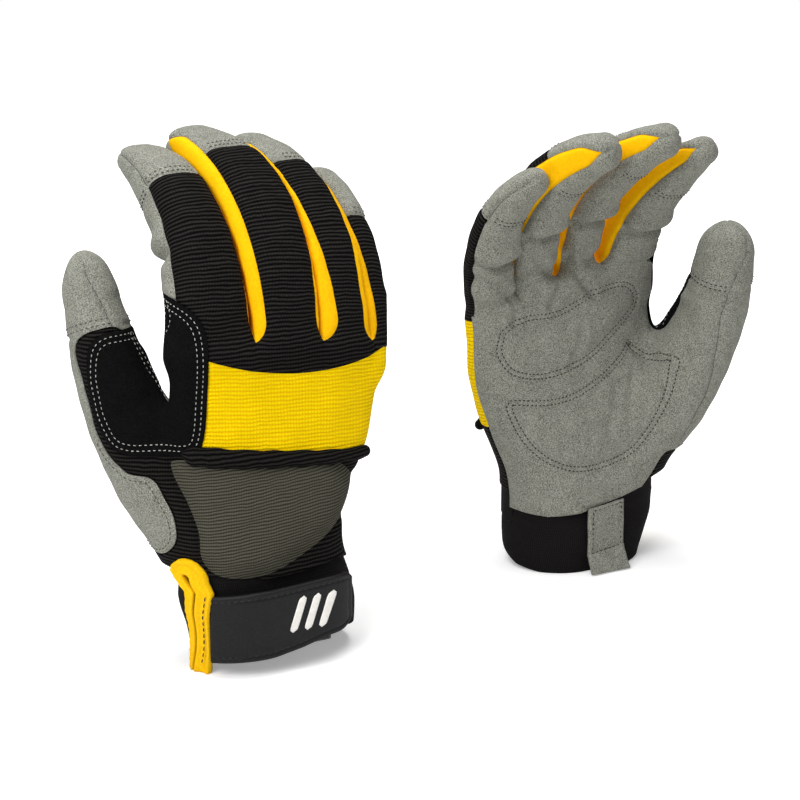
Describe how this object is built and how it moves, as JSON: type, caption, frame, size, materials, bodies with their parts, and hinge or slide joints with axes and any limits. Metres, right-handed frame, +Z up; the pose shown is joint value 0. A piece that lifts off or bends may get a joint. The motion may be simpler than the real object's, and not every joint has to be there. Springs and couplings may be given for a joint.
{
  "type": "pair of work gloves",
  "caption": "Work gloves with a ribbed knit back, suede palm, fingertip caps and padded wrist panel, closed by a hook-and-loop strap, standing in worn shape on their cuffs.",
  "frame": {"origin": "on the floor, midway between the two gloves", "axes": "+X from the glove that shows its back to the one that shows its palm, +Y away from the viewer, +Z up towards the fingertips"},
  "size_m": [0.3076, 0.1054, 0.2058],
  "materials": {
    "suede": "napped synthetic suede",
    "knit": "ribbed stretch knit",
    "yellow_knit": "ribbed stretch knit",
    "charcoal_knit": "ribbed knit over foam",
    "black_suede": "napped synthetic suede",
    "foam": "soft foam",
    "cuff_knit": "folded elastic fabric",
    "yellow_binding": "folded stretch binding",
    "yellow_fourchette": "stretch spandex",
    "tape": "hook-and-loop tape",
    "strap_rubber": "moulded matte rubber",
    "white_rubber": "moulded matte rubber"
  },
  "bodies": {
    "glove1_hand": {"glove1_palm_panel": "suede", "glove1_knuckle_panel": "knit", "glove1_knuckle_band": "yellow_knit", "glove1_back_pad": "charcoal_knit", "glove1_wrist_panel": "knit", "glove1_saddle_patch": "black_suede", "glove1_foam_pads": "foam", "glove1_cuff_band": "cuff_knit", "glove1_slit_binding": "yellow_binding", "glove1_loop_tape": "tape", "glove1_pull_tab": "suede"},
    "glove1_index": {"glove1_index_back": "knit", "glove1_index_front": "suede", "glove1_index_sides": "yellow_fourchette"},
    "glove1_middle": {"glove1_middle_back": "knit", "glove1_middle_front": "suede", "glove1_middle_sides": "yellow_fourchette"},
    "glove1_ring": {"glove1_ring_back": "knit", "glove1_ring_front": "suede", "glove1_ring_sides": "yellow_fourchette"},
    "glove1_little": {"glove1_little_back": "knit", "glove1_little_front": "suede", "glove1_little_sides": "yellow_fourchette"},
    "glove1_thumb": {"glove1_thumb_back": "knit", "glove1_thumb_front": "suede", "glove1_thumb_patch": "black_suede"},
    "glove1_wrist_strap": {"glove1_strap": "strap_rubber", "glove1_hook_tape": "tape", "glove1_strap_bars": "white_rubber"},
    "glove1_loop": {"glove1_pull_loop": "suede"},
    "glove2_hand": {"glove2_palm_panel": "suede", "glove2_knuckle_panel": "knit", "glove2_knuckle_band": "yellow_knit", "glove2_back_pad": "charcoal_knit", "glove2_wrist_panel": "knit", "glove2_saddle_patch": "black_suede", "glove2_foam_pads": "foam", "glove2_cuff_band": "cuff_knit", "glove2_slit_binding": "yellow_binding", "glove2_loop_tape": "tape", "glove2_pull_tab": "suede"},
    "glove2_index": {"glove2_index_back": "knit", "glove2_index_front": "suede", "glove2_index_sides": "yellow_fourchette"},
    "glove2_middle": {"glove2_middle_back": "knit", "glove2_middle_front": "suede", "glove2_middle_sides": "yellow_fourchette"},
    "glove2_ring": {"glove2_ring_back": "knit", "glove2_ring_front": "suede", "glove2_ring_sides": "yellow_fourchette"},
    "glove2_little": {"glove2_little_back": "knit", "glove2_little_front": "suede", "glove2_little_sides": "yellow_fourchette"},
    "glove2_thumb": {"glove2_thumb_back": "knit", "glove2_thumb_front": "suede", "glove2_thumb_patch": "black_suede"},
    "glove2_wrist_strap": {"glove2_strap": "strap_rubber", "glove2_hook_tape": "tape", "glove2_strap_bars": "white_rubber"},
    "glove2_loop": {"glove2_pull_loop": "suede"}
  },
  "joints": [
    {"name": "glove1_index_bend", "type": "hinge", "parent": "glove1_hand", "child": "glove1_index", "pos_m": [-0.1105, -0.00686, 0.124], "axis": [-1, 0, 0], "range_deg": [-10, 40]},
    {"name": "glove1_middle_bend", "type": "hinge", "parent": "glove1_hand", "child": "glove1_middle", "pos_m": [-0.0826, -0.0091, 0.127], "axis": [-1, 0, 0], "range_deg": [-10, 40]},
    {"name": "glove1_ring_bend", "type": "hinge", "parent": "glove1_hand", "child": "glove1_ring", "pos_m": [-0.0592, -0.00846, 0.123], "axis": [-1, 0, 0], "range_deg": [-10, 40]},
    {"name": "glove1_little_bend", "type": "hinge", "parent": "glove1_hand", "child": "glove1_little", "pos_m": [-0.039, -0.00716, 0.114], "axis": [-1, 0, 0], "range_deg": [-10, 40]},
    {"name": "glove1_thumb_bend", "type": "hinge", "parent": "glove1_hand", "child": "glove1_thumb", "pos_m": [-0.138, 0.0255, 0.1], "axis": [-1, 0, 0], "range_deg": [-10, 25]},
    {"name": "glove1_strap_open", "type": "hinge", "parent": "glove1_hand", "child": "glove1_wrist_strap", "pos_m": [-0.1232, -0.0365, 0.0198], "axis": [0, 0, -1], "range_deg": [0, 120]},
    {"name": "glove1_loop_lift", "type": "hinge", "parent": "glove1_hand", "child": "glove1_loop", "pos_m": [-0.089, 0.0117, 0.0105], "axis": [1, 0, 0], "range_deg": [0, 118]},
    {"name": "glove2_index_bend", "type": "hinge", "parent": "glove2_hand", "child": "glove2_index", "pos_m": [0.1105, 0.00686, 0.124], "axis": [1, 0, 0], "range_deg": [-10, 40]},
    {"name": "glove2_middle_bend", "type": "hinge", "parent": "glove2_hand", "child": "glove2_middle", "pos_m": [0.0826, 0.0091, 0.127], "axis": [1, 0, 0], "range_deg": [-10, 40]},
    {"name": "glove2_ring_bend", "type": "hinge", "parent": "glove2_hand", "child": "glove2_ring", "pos_m": [0.0592, 0.00846, 0.123], "axis": [1, 0, 0], "range_deg": [-10, 40]},
    {"name": "glove2_little_bend", "type": "hinge", "parent": "glove2_hand", "child": "glove2_little", "pos_m": [0.039, 0.00716, 0.114], "axis": [1, 0, 0], "range_deg": [-10, 40]},
    {"name": "glove2_thumb_bend", "type": "hinge", "parent": "glove2_hand", "child": "glove2_thumb", "pos_m": [0.138, -0.0255, 0.1], "axis": [1, 0, 0], "range_deg": [-10, 25]},
    {"name": "glove2_strap_open", "type": "hinge", "parent": "glove2_hand", "child": "glove2_wrist_strap", "pos_m": [0.1232, 0.0365, 0.0198], "axis": [0, 0, -1], "range_deg": [0, 120]},
    {"name": "glove2_loop_lift", "type": "hinge", "parent": "glove2_hand", "child": "glove2_loop", "pos_m": [0.089, -0.0117, 0.0105], "axis": [-1, 0, 0], "range_deg": [0, 118]},
    {"name": "glove2_lift", "type": "slide", "parent": "glove1_hand", "child": "glove2_hand", "axis": [0, 0, 1], "range_m": [0, 0.15]}
  ]
}
